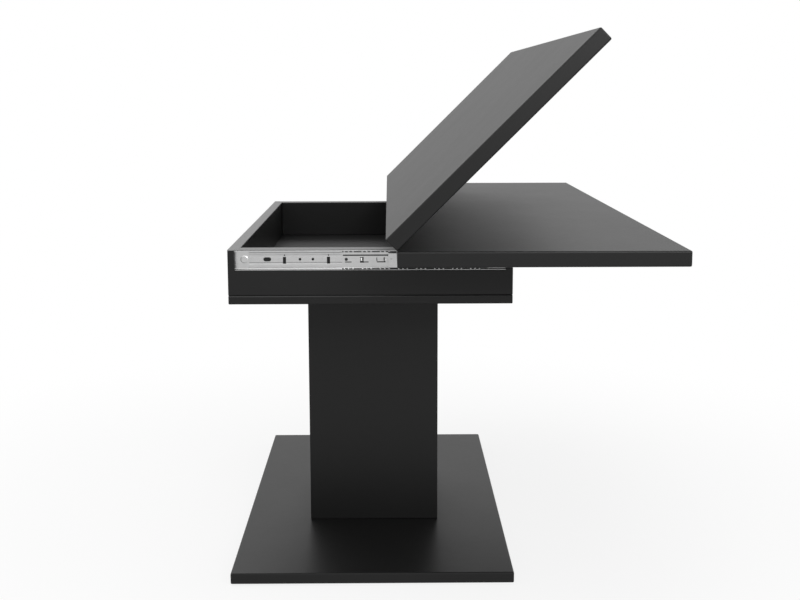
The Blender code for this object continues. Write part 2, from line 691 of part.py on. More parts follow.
def make_hinge_plate(name, y, way, middle_knuckle, carrier):
    """One plate of a butt hinge, with either the middle knuckle or the two outer ones."""
    third = HINGE_LENGTH / 3
    start = y - HINGE_LENGTH / 2
    edges = [start, start + third, start + 2 * third, start + HINGE_LENGTH]
    bottom, top = sorted((hinge_z, hinge_z + way * HINGE_PLATE_DEPTH))
    outline = [(leaf_left, bottom), (leaf_left + HINGE_PLATE, bottom),
               (leaf_left + HINGE_PLATE, top), (leaf_left, top)]
    bm = bmesh.new()
    add_prism(bm, outline, lambda x, z, t: (x, t, z), edges[0], edges[3])
    plate = add_object(name, bm, HINGE_STEEL)

    spans = [(edges[1], edges[2])] if middle_knuckle else [(edges[0], edges[1]), (edges[2], edges[3])]
    bm = bmesh.new()
    for low, high in spans:
        add_turned(bm, [(KNUCKLE_RADIUS, low), (KNUCKLE_RADIUS, high)], on_hinge, KNUCKLE_SIDES)
    combine(plate, bm, "UNION")

    bore = PIN_RADIUS + PIN_GAP
    clear = KNUCKLE_RADIUS + SEAT_GAP
    beyond = KNUCKLE_RADIUS
    bm = bmesh.new()
    if middle_knuckle:
        inner_low = edges[1] + SEAT_GAP
        inner_high = edges[2] - SEAT_GAP
        profile = [(clear, edges[0] - beyond), (clear, inner_low), (bore, inner_low),
                   (bore, inner_high), (clear, inner_high), (clear, edges[3] + beyond)]
    else:
        profile = [(bore, edges[0] - beyond), (bore, edges[1]), (clear, edges[1]),
                   (clear, edges[2]), (bore, edges[2]), (bore, edges[3] + beyond)]
    add_turned(bm, profile, on_hinge, KNUCKLE_SIDES)
    combine(plate, bm, "DIFFERENCE")
    return attach(smooth(plate), carrier)


def make_pin(name, y, carrier):
    half = HINGE_LENGTH / 2
    bm = bmesh.new()
    add_turned(bm, [(PIN_RADIUS, y - half), (PIN_RADIUS, y + half)], on_hinge, KNUCKLE_SIDES)
    return attach(smooth(add_object(name, bm, HINGE_STEEL)), carrier)


def make_leaves():
    leaf_carrier = make_carrier("leaf_carrier", (leaf_left, 0.0, leaf_low))
    cage_carrier = make_carrier("cage_carrier", (cage_left, 0.0, slide_level))
    flap_carrier = make_carrier("flap_carrier", (hinge_x, 0.0, hinge_z))
    for name, side in (("front", -1), ("rear", 1)):
        make_rail(f"{name}_slide_rail", side)
        make_cage(f"{name}_ball_cage", side, cage_carrier)
        make_runner(f"{name}_runner", side, leaf_carrier)
        make_batten(f"{name}_batten", side, leaf_carrier)
    make_leaf("lower_leaf", leaf_low, -1, leaf_carrier)
    make_leaf("upper_leaf", leaf_top + FOLD_GAP, 1, flap_carrier)
    for number, y in enumerate(hinge_places(), start=1):
        make_hinge_plate(f"hinge_lower_plate_{number}", y, -1, False, leaf_carrier)
        make_hinge_plate(f"hinge_upper_plate_{number}", y, 1, True, flap_carrier)
        make_pin(f"hinge_pin_{number}", y, leaf_carrier)
    flap_carrier.rotation_euler = (0.0, -math.radians(FLAP_ANGLE), 0.0)


clear_scene()
make_base()
make_column()
make_tray()
make_leaves()
bpy.context.view_layer.update()
print(f"slide travel {slide_travel:.4f} m, closed top {leaf_top + FOLD_GAP + LEAF_THICKNESS:.4f} m high")
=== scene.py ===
# %% [markdown]
# # An extending pedestal table, dressed
# The solids of the table come in as a fixed frame: base, column, tray, slides and two leaves. This lesson
# gives every surface its finish, adds the small trim of the slides and the fasteners, and lights the table
# as in a studio.

# %% Load the solids
import json
import math

import bpy
from mathutils import Matrix, Vector


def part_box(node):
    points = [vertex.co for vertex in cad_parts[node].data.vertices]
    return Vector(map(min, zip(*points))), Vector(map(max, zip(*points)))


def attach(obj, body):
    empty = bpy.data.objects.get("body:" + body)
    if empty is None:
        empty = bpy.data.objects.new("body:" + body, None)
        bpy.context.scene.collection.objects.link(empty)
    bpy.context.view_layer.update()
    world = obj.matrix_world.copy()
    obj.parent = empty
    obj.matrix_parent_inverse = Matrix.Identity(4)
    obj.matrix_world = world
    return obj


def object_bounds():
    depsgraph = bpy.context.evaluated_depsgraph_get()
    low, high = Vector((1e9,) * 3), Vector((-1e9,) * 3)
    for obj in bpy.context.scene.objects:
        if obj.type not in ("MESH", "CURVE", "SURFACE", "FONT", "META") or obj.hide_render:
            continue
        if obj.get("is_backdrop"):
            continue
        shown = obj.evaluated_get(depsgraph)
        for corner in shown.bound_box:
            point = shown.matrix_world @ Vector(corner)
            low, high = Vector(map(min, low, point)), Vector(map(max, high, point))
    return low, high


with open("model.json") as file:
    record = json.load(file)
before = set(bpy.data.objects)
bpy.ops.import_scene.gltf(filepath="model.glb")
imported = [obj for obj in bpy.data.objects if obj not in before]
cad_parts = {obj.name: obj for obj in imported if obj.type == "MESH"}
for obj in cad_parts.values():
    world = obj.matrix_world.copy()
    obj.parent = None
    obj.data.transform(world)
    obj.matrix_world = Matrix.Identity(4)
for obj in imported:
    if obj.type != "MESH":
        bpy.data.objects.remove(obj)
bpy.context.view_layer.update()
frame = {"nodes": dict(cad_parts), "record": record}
nodes = frame["nodes"]
record = frame["record"]

# %% [markdown]
# ## The camera
# The photograph was taken from the front, a little above the top, with a moderate lens. The place and the
# turn below come from matching the corners of the base, the tray and the leaves. A camera can also be
# aimed with a Track To constraint, but plain rotations are easier to read and to check.

# %% Camera
CAMERA_PLACE = (0.03811, -2.99913, 1.04151)
CAMERA_TURN = math.radians(0.5016)
CAMERA_TILT = math.radians(8.9343)
CAMERA_ROLL = math.radians(-0.1328)
FOCAL_LENGTH = 55.4178
SENSOR_WIDTH = 36.0
LENS_SHIFT = -0.025

lens = bpy.data.cameras.new("camera")
lens.lens = FOCAL_LENGTH
lens.sensor_width = SENSOR_WIDTH
lens.shift_y = LENS_SHIFT
camera = bpy.data.objects.new("camera", lens)
bpy.context.scene.collection.objects.link(camera)
camera.matrix_world = (
    Matrix.Translation(CAMERA_PLACE)
    @ Matrix.Rotation(-CAMERA_TURN, 4, "Z")
    @ Matrix.Rotation(math.pi / 2 - CAMERA_TILT, 4, "X")
    @ Matrix.Rotation(CAMERA_ROLL, 4, "Z")
)
bpy.context.scene.camera = camera
bpy.context.scene.view_settings.view_transform = "Standard"
print("camera", [round(x, 3) for x in camera.location], "lens", lens.lens)

# %% [markdown]
# ## Shader maths as plain expressions
# Patterns are easier to read as formulas than as boxes and wires. A Wire holds one output of a node. When
# two Wires, or a Wire and a number, are added or multiplied, the Math node is made behind the scenes.
# Wiring is one node tree being filled, and its node method makes any other node. A Finish is the wiring of
# one material, with short names for the patterns that the table needs.

# %% Wire


class Wire:
    """One output socket, which takes part in Python arithmetic."""

    def __init__(self, wiring, socket):
        self.wiring = wiring
        self.socket = socket

    def maths(self, operation, *values):
        return self.wiring.node("ShaderNodeMath", {"operation": operation}, dict(enumerate(values)))

    def __add__(self, other):
        return self.maths("ADD", self, other)

    __radd__ = __add__

    def __sub__(self, other):
        return self.maths("SUBTRACT", self, other)

    def __rsub__(self, other):
        return self.maths("SUBTRACT", other, self)

    def __mul__(self, other):
        return self.maths("MULTIPLY", self, other)

    __rmul__ = __mul__

    def most(self, other):
        return self.maths("MAXIMUM", self, other)

    def rise(self, start, end):
        """0 before start, 1 after end, and a smooth rise between."""
        return self.wiring.node("ShaderNodeMapRange", {"interpolation_type": "SMOOTHSTEP"},
                                {"Value": self, "From Min": start, "From Max": end})


print("wires ready")

# %% Wiring


class Wiring:
    """One node tree, filled node by node."""

    def __init__(self, tree):
        self.tree = tree

    def join(self, value, socket):
        if isinstance(value, Wire):
            self.tree.links.new(value.socket, socket)
        else:
            socket.default_value = value

    def node(self, kind, settings=None, sockets=None, out=0):
        """Makes any node: its settings first, then its sockets, by name or number."""
        made = self.tree.nodes.new(kind)
        for key, value in (settings or {}).items():
            if key == "stops":
                for place, _ in value[1:-1]:
                    made.color_ramp.elements.new(place)
                for element, (place, colour) in zip(made.color_ramp.elements, value):
                    element.position = place
                    element.color = colour
            else:
                setattr(made, key, value)
        for key, value in (sockets or {}).items():
            self.join(value, made.inputs[key])
        return Wire(self, made.outputs[out])

    def seen(self):
        """1 for rays from the camera, and for those that mirrors and glass send on, else 0."""
        camera_ray, glossy_ray, through_ray = [
            self.node("ShaderNodeLightPath", out=name)
            for name in ("Is Camera Ray", "Is Glossy Ray", "Is Transmission Ray")]
        return camera_ray.most(glossy_ray).most(through_ray)


print("wiring ready")

# %% Finish
RICH_DETAIL = 3.0
NOISE_MIDDLE = 0.5


class Finish(Wiring):
    """The wiring of one material."""

    def __init__(self, name, **sockets):
        self.material = bpy.data.materials.new(name)
        self.material.use_nodes = True
        super().__init__(self.material.node_tree)
        self.shader = self.tree.nodes["Principled BSDF"]
        self.set(**sockets)

    def set(self, **sockets):
        """Sets or links sockets of the material's own shader."""
        for name, value in sockets.items():
            self.join(value, self.shader.inputs[name.replace("_", " ")])

    def place(self, scale=(1.0, 1.0, 1.0), turn=(0.0, 0.0, 0.0)):
        """Object coordinates in metres, turned and then stretched."""
        point = self.node("ShaderNodeTexCoord", out="Object")
        return self.node("ShaderNodeMapping", {"vector_type": "POINT"},
                         {"Vector": point, "Rotation": turn, "Scale": scale})

    def noise(self, point, scale, detail=2.0):
        return self.node("ShaderNodeTexNoise", {"noise_dimensions": "3D"},
                         {"Vector": point, "Scale": scale, "Detail": detail})

    def blend(self, amount, first, second):
        """Mixes two colours."""
        return self.node("ShaderNodeMix", {"data_type": "RGBA"}, {0: amount, 6: first, 7: second}, out=2)

    def bump(self, height, strength, distance):
        self.set(Normal=self.node("ShaderNodeBump", None,
                                  {"Height": height, "Strength": strength, "Distance": distance}))


def grey(value, warm=0.0):
    return (value * (1 + warm), value, value * (1 - warm), 1.0)


print("finishes ready")

# %% [markdown]
# ## Black laminate
# The boards are covered with a satin black laminate. Real laminate is pressed against a finely frosted
# plate, so close up it has a tiny pearl texture, and its sheen is slightly cloudy. Both are made with noise
# on the object's own coordinates, so that they have the same scale on every board. A picture texture would
# need unwrapping and would show its pixels.

# %% Black laminate
LAMINATE_DARK = grey(0.0052)
LAMINATE_LIGHT = grey(0.0068)
LAMINATE_ROUGHNESS = 0.42
LAMINATE_IOR = 1.36
CLOUD_SCALE, CLOUD_SHEEN = 7.0, 0.04
FINE_SCALE, FINE_SHEEN = 60.0, 0.03
PEARL_SCALE = 1400.0
PEARL_BUMP = (0.04, 0.0002)


def black_laminate():
    finish = Finish("black_laminate_board", IOR=LAMINATE_IOR)
    cloud = finish.noise(finish.place(), CLOUD_SCALE, RICH_DETAIL)
    finish.set(Base_Color=finish.blend(cloud, LAMINATE_DARK, LAMINATE_LIGHT))
    fine = finish.noise(finish.place(), FINE_SCALE, RICH_DETAIL)
    cloudy = CLOUD_SHEEN * (cloud - NOISE_MIDDLE)
    grainy = FINE_SHEEN * (fine - NOISE_MIDDLE)
    finish.set(Roughness=LAMINATE_ROUGHNESS + cloudy + grainy)
    finish.bump(finish.noise(finish.place(), PEARL_SCALE), *PEARL_BUMP)
    return finish.material


laminate = black_laminate()
print("laminate", len(laminate.node_tree.nodes), "nodes")

# %% [markdown]
# ## Zinc-plated steel
# The slides are pressed from steel strip with a bright zinc plating. Strip keeps fine lines along its
# rolling direction, here X, and the plating is a little cloudy. Noise stretched along X gives the lines. An
# anisotropic shader could streak the highlights too, but it needs tangents on every solid. The balls are
# ground and polished, so theirs is the same metal with a much smoother surface.

# %% Zinc and polished steel
ROLLED_ALONG_X = (12.0, 1700.0, 1700.0)
LINES_SHARE = 0.6
ZINC_CLOUD = 90.0
ZINC_TONES = (grey(0.48, -0.01), grey(0.68, 0.005))
ZINC_ROUGHNESS, ZINC_SPREAD = 0.22, 0.14
ZINC_BUMP = (0.08, 0.0001)
POLISH_CLOUD = 700.0
POLISH_TONES = (grey(0.72), grey(0.82))
POLISH_ROUGHNESS, POLISH_SPREAD = 0.12, 0.08


def zinc_steel():
    finish = Finish("zinc_plated_strip", Metallic=1.0)
    lines = finish.noise(finish.place(scale=ROLLED_ALONG_X), 1.0, RICH_DETAIL)
    cloud = finish.noise(finish.place(), ZINC_CLOUD, RICH_DETAIL)
    tone = LINES_SHARE * lines + (1 - LINES_SHARE) * cloud
    finish.set(Base_Color=finish.blend(tone, *ZINC_TONES))
    finish.set(Roughness=ZINC_ROUGHNESS + ZINC_SPREAD * lines)
    finish.bump(lines, *ZINC_BUMP)
    return finish.material


def polished_steel():
    finish = Finish("polished_steel", Metallic=1.0)
    cloud = finish.noise(finish.place(), POLISH_CLOUD)
    finish.set(Base_Color=finish.blend(cloud, *POLISH_TONES))
    finish.set(Roughness=POLISH_ROUGHNESS + POLISH_SPREAD * cloud)
    return finish.material


zinc = zinc_steel()
polished = polished_steel()
print("zinc", len(zinc.node_tree.nodes), "nodes")

# %% [markdown]
# ## Felt, nickel, nylon and bare board
# The rim carries thin felt that the leaves can rest on. Felt is a mat of fibres, so two stretched noises at
# an angle stand for the fibres. The hinges and bolts are nickel-plated, the glides and the slides' small
# trim moulded nylon, and the boards inside the column bare chipboard, whose flakes are Voronoi cells. Hair
# could make the felt's fibres one by one, but on a strip this thin nobody would see the difference.

# %% Felt and nickel
FELT_ROUGHNESS, FELT_IOR = 0.95, 1.3
FIBRES_ONE_WAY = (900.0, 160.0, 500.0)
FIBRES_OTHER_WAY = (160.0, 900.0, 500.0)
FIBRES_TURN = (0.0, 0.0, 0.5)
FELT_TONES = (grey(0.25), grey(0.40))
FELT_BUMP = (0.5, 0.0004)
BRUSHED_ALONG_Y = (1500.0, 24.0, 1500.0)
NICKEL_TONES = (grey(0.42, 0.01), grey(0.54, 0.015))
NICKEL_ROUGHNESS, NICKEL_SPREAD = 0.28, 0.14
NICKEL_BUMP = (0.06, 0.0001)


def grey_felt():
    finish = Finish("grey_felt_strip", Roughness=FELT_ROUGHNESS, IOR=FELT_IOR)
    one_way = finish.noise(finish.place(scale=FIBRES_ONE_WAY), 1.0, RICH_DETAIL)
    other_way = finish.noise(finish.place(scale=FIBRES_OTHER_WAY, turn=FIBRES_TURN), 1.0, RICH_DETAIL)
    mat = 0.5 * one_way + 0.5 * other_way
    finish.set(Base_Color=finish.blend(mat, *FELT_TONES))
    finish.bump(mat, *FELT_BUMP)
    return finish.material


def hinge_nickel():
    finish = Finish("nickel_plate", Metallic=1.0)
    lines = finish.noise(finish.place(scale=BRUSHED_ALONG_Y), 1.0)
    finish.set(Base_Color=finish.blend(lines, *NICKEL_TONES))
    finish.set(Roughness=NICKEL_ROUGHNESS + NICKEL_SPREAD * lines)
    finish.bump(lines, *NICKEL_BUMP)
    return finish.material


felt = grey_felt()
nickel = hinge_nickel()
print("felt", len(felt.node_tree.nodes), "nodes, nickel", len(nickel.node_tree.nodes))

# %% Nylon and bare board
NYLON_IOR = 1.5
NYLON_PEBBLE = 900.0
NYLON_TONES = (grey(0.010), grey(0.018))
NYLON_ROUGHNESS, NYLON_SPREAD = 0.48, 0.16
NYLON_BUMP = (0.25, 0.0003)
BOARD_ROUGHNESS = 0.85
FLAT_FLAKES = (1.0, 1.0, 3.0)
FLAKE_SCALE = 260.0
FLAKE_COLOURS = [
    (0.0, (0.26, 0.17, 0.09, 1.0)),
    (0.5, (0.43, 0.31, 0.19, 1.0)),
    (1.0, (0.55, 0.43, 0.29, 1.0)),
]
FLAKE_BUMP = (0.3, 0.0004)


def moulded_nylon():
    finish = Finish("moulded_nylon", IOR=NYLON_IOR)
    pebble = finish.noise(finish.place(), NYLON_PEBBLE)
    finish.set(Base_Color=finish.blend(pebble, *NYLON_TONES))
    finish.set(Roughness=NYLON_ROUGHNESS + NYLON_SPREAD * pebble)
    finish.bump(pebble, *NYLON_BUMP)
    return finish.material


def bare_chipboard():
    finish = Finish("bare_chipboard", Roughness=BOARD_ROUGHNESS)
    flakes = finish.node("ShaderNodeTexVoronoi", {"feature": "F1"},
                         {"Vector": finish.place(scale=FLAT_FLAKES), "Scale": FLAKE_SCALE}, out="Color")
    shade = finish.node("ShaderNodeSeparateColor", None, {"Color": flakes})
    finish.set(Base_Color=finish.node("ShaderNodeValToRGB", {"stops": FLAKE_COLOURS}, {"Fac": shade}))
    finish.bump(shade, *FLAKE_BUMP)
    return finish.material


nylon = moulded_nylon()
board = bare_chipboard()
print("nylon", len(nylon.node_tree.nodes), "nodes, board", len(board.node_tree.nodes))

# %% Give the solids their finishes
finishes = {
    "black_laminate": laminate,
    "zinc_steel": zinc,
    "grey_felt": felt,
    "hinge_steel": nickel,
    "black_nylon": nylon,
    "bare_board": board,
}
for subpart in record["subparts"]:
    nodes[subpart["node"]].material_slots[0].material = finishes[subpart["material_slot"]]
print("finishes given to", len(record["subparts"]), "solids")

# %% [markdown]
# ## Modelling helpers
# Each new piece starts as a primitive at its size and place. The helpers deselect everything first, because
# an operator acts on all that is selected, and they keep a piece's place in its mesh. A piece that repeats
# is modelled once and copied with a mesh of its own. A mirror image is turned inside out by the mirroring,
# so its normals are flipped back.

# %% Helpers that start a piece
ROUND_SIDES = 20


def begin():
    bpy.ops.object.select_all(action="DESELECT")


def only(piece):
    begin()
    piece.select_set(True)
    bpy.context.view_layer.objects.active = piece


def block(name, low, high):
    """A block between two corners."""
    begin()
    bpy.ops.mesh.primitive_cube_add(size=1.0, location=(Vector(low) + Vector(high)) / 2)
    piece = bpy.context.object
    piece.name = name
    piece.scale = Vector(high) - Vector(low)
    bpy.ops.object.transform_apply(location=True, rotation=True, scale=True)
    return piece


def disc(radius, depth, place=(0.0, 0.0, 0.0), turn=0.0):
    """A short cylinder along Z, turned about X and put in its place."""
    begin()
    bpy.ops.mesh.primitive_cylinder_add(
        vertices=ROUND_SIDES, radius=radius, depth=depth, rotation=(turn, 0.0, 0.0), location=place)
    bpy.ops.object.transform_apply(location=True, rotation=True, scale=True)
    return bpy.context.object


print("starts ready")

# %% Helpers that shape a piece
EDGE = 0.0001
CUT_EXACT = 0.000001


def apply(piece, kind, **settings):
    """Adds a modifier, sets it and applies it."""
    only(piece)
    modifier = piece.modifiers.new(kind.lower(), kind)
    for key, value in settings.items():
        setattr(modifier, key, value)
    bpy.ops.object.modifier_apply(modifier=modifier.name)
    return piece


def cut(piece, tool):
    """Cuts the tool out of the piece and throws the tool away."""
    apply(piece, "BOOLEAN", operation="DIFFERENCE", solver="EXACT", object=tool)
    bpy.data.objects.remove(tool, do_unlink=True)
    return piece


def slope(piece, front, foot, rise, depth):
    """Cuts the front face back along a plane that leaves it at the foot and goes in by depth over the rise.

    The normal has length 1, because the operator's threshold is measured along it.
    """
    normal = Vector((0.0, -rise, depth)).normalized()
    only(piece)
    bpy.ops.object.mode_set(mode="EDIT")
    bpy.ops.mesh.select_all(action="SELECT")
    bpy.ops.mesh.bisect(plane_co=(0.0, front, foot), plane_no=normal, threshold=CUT_EXACT,
                        use_fill=True, clear_outer=True)
    bpy.ops.object.mode_set(mode="OBJECT")
    return piece


def round_rim(piece, chosen, offset, segments):
    """Bevels only the edges whose two ends are both chosen."""
    only(piece)
    bpy.ops.object.mode_set(mode="EDIT")
    bpy.ops.mesh.select_mode(type="EDGE")
    bpy.ops.mesh.select_all(action="DESELECT")
    bpy.ops.object.mode_set(mode="OBJECT")
    for edge in piece.data.edges:
        edge.select = all(chosen(piece.data.vertices[v].co) for v in edge.vertices)
    bpy.ops.object.mode_set(mode="EDIT")
    bpy.ops.mesh.bevel(offset=offset, offset_type="OFFSET", segments=segments)
    bpy.ops.object.mode_set(mode="OBJECT")
    return piece


print("shaping ready")

# %% Helpers that copy and finish a piece


def copy_to(piece, name, matrix):
    """A copy with a mesh of its own, moved in its mesh."""
    made = piece.copy()
    made.data = piece.data.copy()
    made.name = name
    bpy.context.scene.collection.objects.link(made)
    made.data.transform(matrix)
    return made


def mirrored(piece, name, level=None):
    """A mirror image of a piece, across the table's middle plane or a level."""
    if level is None:
        flip = Matrix.Diagonal((1.0, -1.0, 1.0, 1.0))
    else:
        flip = Matrix.Translation((0.0, 0.0, 2 * level)) @ Matrix.Diagonal((1.0, 1.0, -1.0, 1.0))
    twin = copy_to(piece, name, flip)
    twin.data.flip_normals()
    return twin


def merge(pieces, name):
    """Joins pieces into the first one."""
    begin()
    for piece in pieces:
        piece.select_set(True)
    bpy.context.view_layer.objects.active = pieces[0]
    bpy.ops.object.join()
    pieces[0].name = name
    return pieces[0]


def dress(piece, material, body):
    """Gives a piece its material and slot, and the body that it rides on."""
    piece.data.materials.clear()
    piece.data.materials.append(material)
    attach(piece, body)
    return piece


print("helpers ready")

# %% [markdown]
# ## Balls of the slides
# Each slide runs on two rows of steel balls, held by the cage in groups of three. The solids have coarse
# balls, so a smooth ball goes over each. One ball is copied along X with two Array modifiers, first to a
# group and then to a row, and the row is copied to the other three. A loop could place every ball, but the
# two Arrays say how a row is made up.

# %% Balls
BALL_RADIUS = 0.00193
BALL_SEGMENTS, BALL_RINGS = 12, 7
BALLS_IN_GROUP = 3
BALL_SPACING = 0.0088
BALL_PITCH = 0.0366
BALL_START = 0.014
BALL_COVER = 0.0019
BALL_IN_CAGE = 0.00415

cage_low, cage_high = [Vector(corner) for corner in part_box("front_ball_cage")]
slide_level = (cage_low.z + cage_high.z) / 2
ball_height = cage_high.z - BALL_COVER - slide_level
groups = int((cage_high.x - cage_low.x - 2 * BALL_START) // BALL_PITCH) + 1
first_ball = (cage_low.x + BALL_START - BALL_SPACING, cage_high.y - BALL_IN_CAGE, slide_level + ball_height)


def repeat_in_groups(piece):
    """Repeats a piece along X, first to a group and then to a row of groups."""
    for count, step in ((BALLS_IN_GROUP, BALL_SPACING), (groups, BALL_PITCH)):
        apply(piece, "ARRAY", count=count, use_relative_offset=False, use_constant_offset=True,
              constant_offset_displace=(step, 0.0, 0.0))


begin()
bpy.ops.mesh.primitive_uv_sphere_add(
    segments=BALL_SEGMENTS, ring_count=BALL_RINGS, radius=BALL_RADIUS, location=first_ball)
row = bpy.context.object
bpy.ops.object.transform_apply(location=True, rotation=True, scale=True)
repeat_in_groups(row)
bpy.ops.object.shade_smooth()
other_row = copy_to(row, "lower_row", Matrix.Translation((0.0, 0.0, -2 * ball_height)))
front_balls = merge([row, other_row], "front_cage_balls")
rear_balls = copy_to(front_balls, "rear_cage_balls", Matrix.Translation((0.0, -2 * first_ball[1], 0.0)))
for balls in (front_balls, rear_balls):
    dress(balls, polished, "ball_cages")
print("balls", 2 * 2 * BALLS_IN_GROUP * groups)

# %% [markdown]
# ## Combs in front of the balls
# A narrow black nylon comb runs along the front of each row of balls and is dark between them. Steel shows
# through its notches, so from the front each row is a line of dashes. The comb could be built tooth by
# tooth, but cutting the notches out of one strip keeps it whole, along a spine that the rail's lip hides.

# %% Combs
COMB_SHEET = 0.00045
COMB_GAP = 0.00005
COMB_REACH = (-0.0013, 0.00165)
COMB_END = 0.001
COMB_EDGE = 0.00008
NOTCH = 0.0032
NOTCH_TOP = 0.0013
NOTCH_SPARE = 0.001

comb_back = cage_low.y - COMB_GAP
comb_low = (cage_low.x + COMB_END, comb_back - COMB_SHEET, first_ball[2] + COMB_REACH[0])
comb_high = (cage_high.x - COMB_END, comb_back, first_ball[2] + COMB_REACH[1])
comb = block("upper_comb", comb_low, comb_high)
notch_low = (first_ball[0] - NOTCH / 2, comb_low[1] - NOTCH_SPARE, comb_low[2] - NOTCH_SPARE)
notch_high = (first_ball[0] + NOTCH / 2, comb_back + NOTCH_SPARE, first_ball[2] + NOTCH_TOP)
notch = block("notch", notch_low, notch_high)
repeat_in_groups(notch)
cut(comb, notch)
apply(comb, "BEVEL", width=COMB_EDGE, segments=1, limit_method="ANGLE")
front_combs = merge([comb, mirrored(comb, "lower_comb", slide_level)], "front_ball_retainers")
rear_combs = mirrored(front_combs, "rear_ball_retainers")
for piece in (front_combs, rear_combs):
    dress(piece, finishes["black_nylon"], "ball_cages")
print("retainers", len(front_combs.data.polygons), "faces each")

# %% [markdown]
# ## Painted shade behind the cages, and tabs
# In the photograph the cage's slits and its first hole are dark, though bright steel would lie behind them.
# So a thin black nylon liner backs each cage as painted shade: it stands for the shadow in the slits and the
# hole, and the balls stand out against it. It is a plain plate, because cut-outs in it would be out of
# sight.
# Near each end of the cage a small tab is bent out, and its leaning face catches the light. The tab is zinc
# of the cage but takes the brighter polished steel, a painted highlight on top of that light. A bent sheet
# could be modelled along a curve, but at this size a block cut back by one sloping plane shows the same.

# %% Painted shade liners and tabs
SHADE_LINER = 0.0003
SHADE_LINER_GAP = 0.00005
SHADE_LINER_HALF = 0.0172
SHADE_LINER_END = 0.001
CAGE_SHEET = 0.0008
TAB = (0.0024, 0.0020, 0.0058)
TAB_START = 0.0398
TAB_LIFT = 0.0015
TAB_LEAN = 0.0017

shade_liner_low = (cage_low.x + SHADE_LINER_END, cage_high.y + SHADE_LINER_GAP, slide_level - SHADE_LINER_HALF)
shade_liner_high = (cage_high.x - SHADE_LINER_END, cage_high.y + SHADE_LINER_GAP + SHADE_LINER, slide_level + SHADE_LINER_HALF)
# The liner is painted shade: a black sheet where the cage's slits and hole would only lie in shadow.
front_shade_liner = block("front_cage_liner", shade_liner_low, shade_liner_high)
apply(front_shade_liner, "BEVEL", width=EDGE, segments=1)

tabs = []
for tab_x in (cage_low.x + TAB_START, cage_high.x - TAB_START):
    low = (tab_x - TAB[0] / 2, cage_high.y - TAB[1], slide_level + TAB_LIFT - TAB[2] / 2)
    high = (tab_x + TAB[0] / 2, cage_high.y, slide_level + TAB_LIFT + TAB[2] / 2)
    tab = slope(block("tab", low, high), low[1], low[2], TAB[2], TAB_LEAN)
    tabs.append(apply(tab, "BEVEL", width=EDGE, segments=1))
# The tabs are zinc of the cage but take the brighter polished steel, a painted highlight on top of the light
# their leaning faces catch.
front_tabs = merge(tabs, "front_cage_tabs")
for piece, material, slot in ((front_shade_liner, finishes["black_nylon"], "black_nylon"),
                              (front_tabs, polished, "zinc_steel")):
    for made in (piece, mirrored(piece, piece.name.replace("front", "rear"))):
        dress(made, material, "ball_cages")
print("liners", [round(b - a, 4) for a, b in zip(shade_liner_low, shade_liner_high)])

# %% [markdown]
# ## Painted shade, lugs and catches of the cages
# At each end of a cage thin black nylon pieces are painted shade round its openings, where these lie in
# shadow: a disc in the hole with a foot under it, a bracket round the tab and a cradle round the tongue. A
# strip of painted shade lies along the slit. The tongue is a bent lug, and a small catch leans out beside
# it.
# The catch takes the brighter polished steel, a painted highlight on top of the light its leaning face
# catches. Brackets and cradles start as one block each, and their open parts are cut away. Drawing the
# outlines and extruding them would need many more numbers.

# %% Painted shade, lugs and catches
SHADE_SHEET = 0.0004
HOLE_SHADE = (0.0088, 0.0011)
HOLE_SHADE_RADIUS = 0.0032
HOLE_FOOT_SHADE = (0.0063, 0.0195, -0.0053, -0.0034)
SLIT_SHADE = (0.0020, 0.1480, 0.0083, 0.0109)
TAB_SHADE = (0.0367, 0.0541, -0.0058, 0.0057)
TAB_SHADE_CUTS = (
    (0.0357, 0.0426, -0.0022, 0.0046),
    (0.0441, 0.0551, -0.0034, 0.0064),
    (0.0448, 0.0551, -0.0068, -0.0053),
)
TONGUE_SHADE = (0.0708, 0.0886, -0.0052, 0.0056)
TONGUE_SHADE_CUTS = (
    (0.0714, 0.0855, -0.0032, 0.0066),
    (0.0869, 0.0896, -0.0032, 0.0066),
)
LUG = (0.0722, 0.0846, -0.0030, 0.0016)
CATCH = (0.0873, 0.0896, -0.0010, 0.0034)
CATCH_RISE = 0.0016
CATCH_LEAN = 0.0013

web_face = cage_high.y - CAGE_SHEET - SHADE_LINER_GAP


def on_cage(end, way, area, sheet=SHADE_SHEET, deeper=0.0):
    """A block on the cage's web: its area counts from the cage's end and from the slide's middle level."""
    left, right = sorted((end + way * area[0], end + way * area[1]))
    return block("buffer", (left, web_face - sheet - deeper, slide_level + area[2]),
                 (right, web_face + deeper, slide_level + area[3]))


def shade_disc(end, way):
    """A round disc of painted shade in the cage's hole, on its web."""
    place = (end + way * HOLE_SHADE[0], web_face - SHADE_SHEET / 2, slide_level + HOLE_SHADE[1])
    return disc(HOLE_SHADE_RADIUS, SHADE_SHEET, place, math.pi / 2)


painted_shades, lugs, catches = [], [], []
for end, way in ((cage_low.x, 1), (cage_high.x, -1)):
    # Disc, foot, strip, bracket and cradle are painted shade: black nylon where the hole, slit, tab and
    # tongue lie in shadow.
    painted_shades += [shade_disc(end, way), on_cage(end, way, HOLE_FOOT_SHADE), on_cage(end, way, SLIT_SHADE)]
    for area, openings in ((TAB_SHADE, TAB_SHADE_CUTS), (TONGUE_SHADE, TONGUE_SHADE_CUTS)):
        piece = on_cage(end, way, area)
        for opening in openings:
            cut(piece, on_cage(end, way, opening, deeper=SHADE_SHEET))
        painted_shades.append(piece)
    lugs.append(on_cage(end, way, LUG))
    # The catch is zinc of the cage but takes the brighter polished steel, a painted highlight on top of the
    # light its leaning face catches.
    catch = on_cage(end, way, CATCH, sheet=CATCH_RISE)
    catch_foot = slide_level + CATCH[2]
    catches.append(slope(catch, web_face - CATCH_RISE, catch_foot, CATCH[3] - CATCH[2], CATCH_LEAN))
